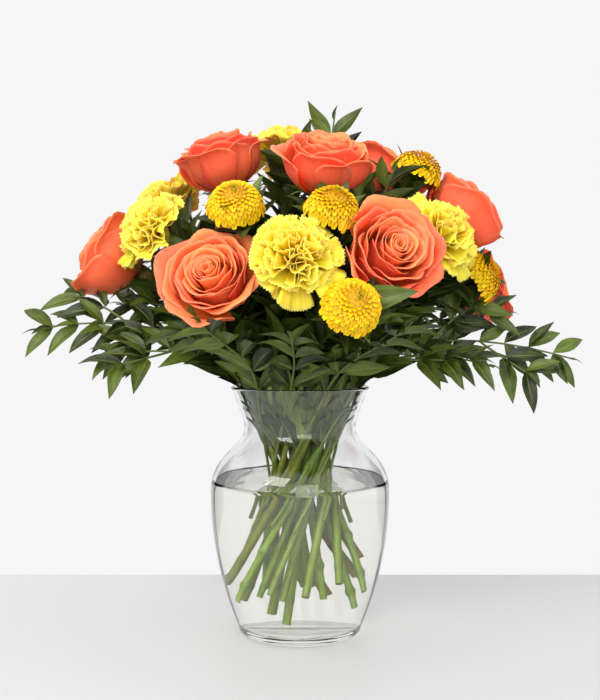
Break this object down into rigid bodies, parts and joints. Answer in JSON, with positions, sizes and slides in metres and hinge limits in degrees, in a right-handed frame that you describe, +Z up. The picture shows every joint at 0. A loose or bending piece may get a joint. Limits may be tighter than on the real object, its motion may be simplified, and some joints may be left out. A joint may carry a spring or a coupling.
{
  "type": "roses, carnations and button chrysanthemums in a glass vase",
  "caption": "Domed bouquet of roses, carnations and button chrysanthemums with ruscus leaves, standing in water in a clear glass vase with a flared collar.",
  "frame": {"origin": "centre of the vase's flat underside", "axes": "+Z up along the vase's axis, -Y towards the front of the bouquet, +X to its right as seen from the front"},
  "size_m": [0.4583, 0.3115, 0.4317],
  "materials": {
    "clear_glass": "smooth clear blown glass",
    "water": "still clear water",
    "rose_petal": "soft velvety petals, coral outside and orange inside",
    "carnation_petal": "thin ruffled lemon yellow petals",
    "button_petal": "small packed golden yellow florets",
    "stem_green": "matt green stems with nodes",
    "ruscus_green": "dark green half-gloss leaves"
  },
  "bodies": {
    "root": {"vase": "clear_glass", "water": "water", "rose_1_bloom": "rose_petal", "rose_1_stem": "stem_green", "rose_2_bloom": "rose_petal", "rose_2_stem": "stem_green", "rose_3_bloom": "rose_petal", "rose_3_stem": "stem_green", "rose_4_bloom": "rose_petal", "rose_4_stem": "stem_green", "rose_5_bloom": "rose_petal", "rose_5_stem": "stem_green", "rose_6_bloom": "rose_petal", "rose_6_stem": "stem_green", "rose_7_bloom": "rose_petal", "rose_7_stem": "stem_green", "rose_8_bloom": "rose_petal", "rose_8_stem": "stem_green", "rose_9_bloom": "rose_petal", "rose_9_stem": "stem_green", "rose_10_bloom": "rose_petal", "rose_10_stem": "stem_green", "carnation_1_bloom": "carnation_petal", "carnation_1_stem": "stem_green", "carnation_2_bloom": "carnation_petal", "carnation_2_stem": "stem_green", "carnation_3_bloom": "carnation_petal", "carnation_3_stem": "stem_green", "carnation_4_bloom": "carnation_petal", "carnation_4_stem": "stem_green", "carnation_5_bloom": "carnation_petal", "carnation_5_stem": "stem_green", "carnation_6_bloom": "carnation_petal", "carnation_6_stem": "stem_green", "button_1_bloom": "button_petal", "button_1_stem": "stem_green", "button_2_bloom": "button_petal", "button_2_stem": "stem_green", "button_3_bloom": "button_petal", "button_3_stem": "stem_green", "button_4_bloom": "button_petal", "button_4_stem": "stem_green", "button_5_bloom": "button_petal", "button_5_stem": "stem_green", "ruscus_1": "ruscus_green", "ruscus_2": "ruscus_green", "ruscus_3": "ruscus_green", "ruscus_4": "ruscus_green", "ruscus_5": "ruscus_green", "ruscus_6": "ruscus_green", "ruscus_7": "ruscus_green", "ruscus_8": "ruscus_green", "ruscus_9": "ruscus_green", "ruscus_10": "ruscus_green", "ruscus_11": "ruscus_green", "ruscus_12": "ruscus_green", "ruscus_13": "ruscus_green", "ruscus_14": "ruscus_green", "ruscus_15": "ruscus_green", "ruscus_16": "ruscus_green"}
  },
  "joints": []
}
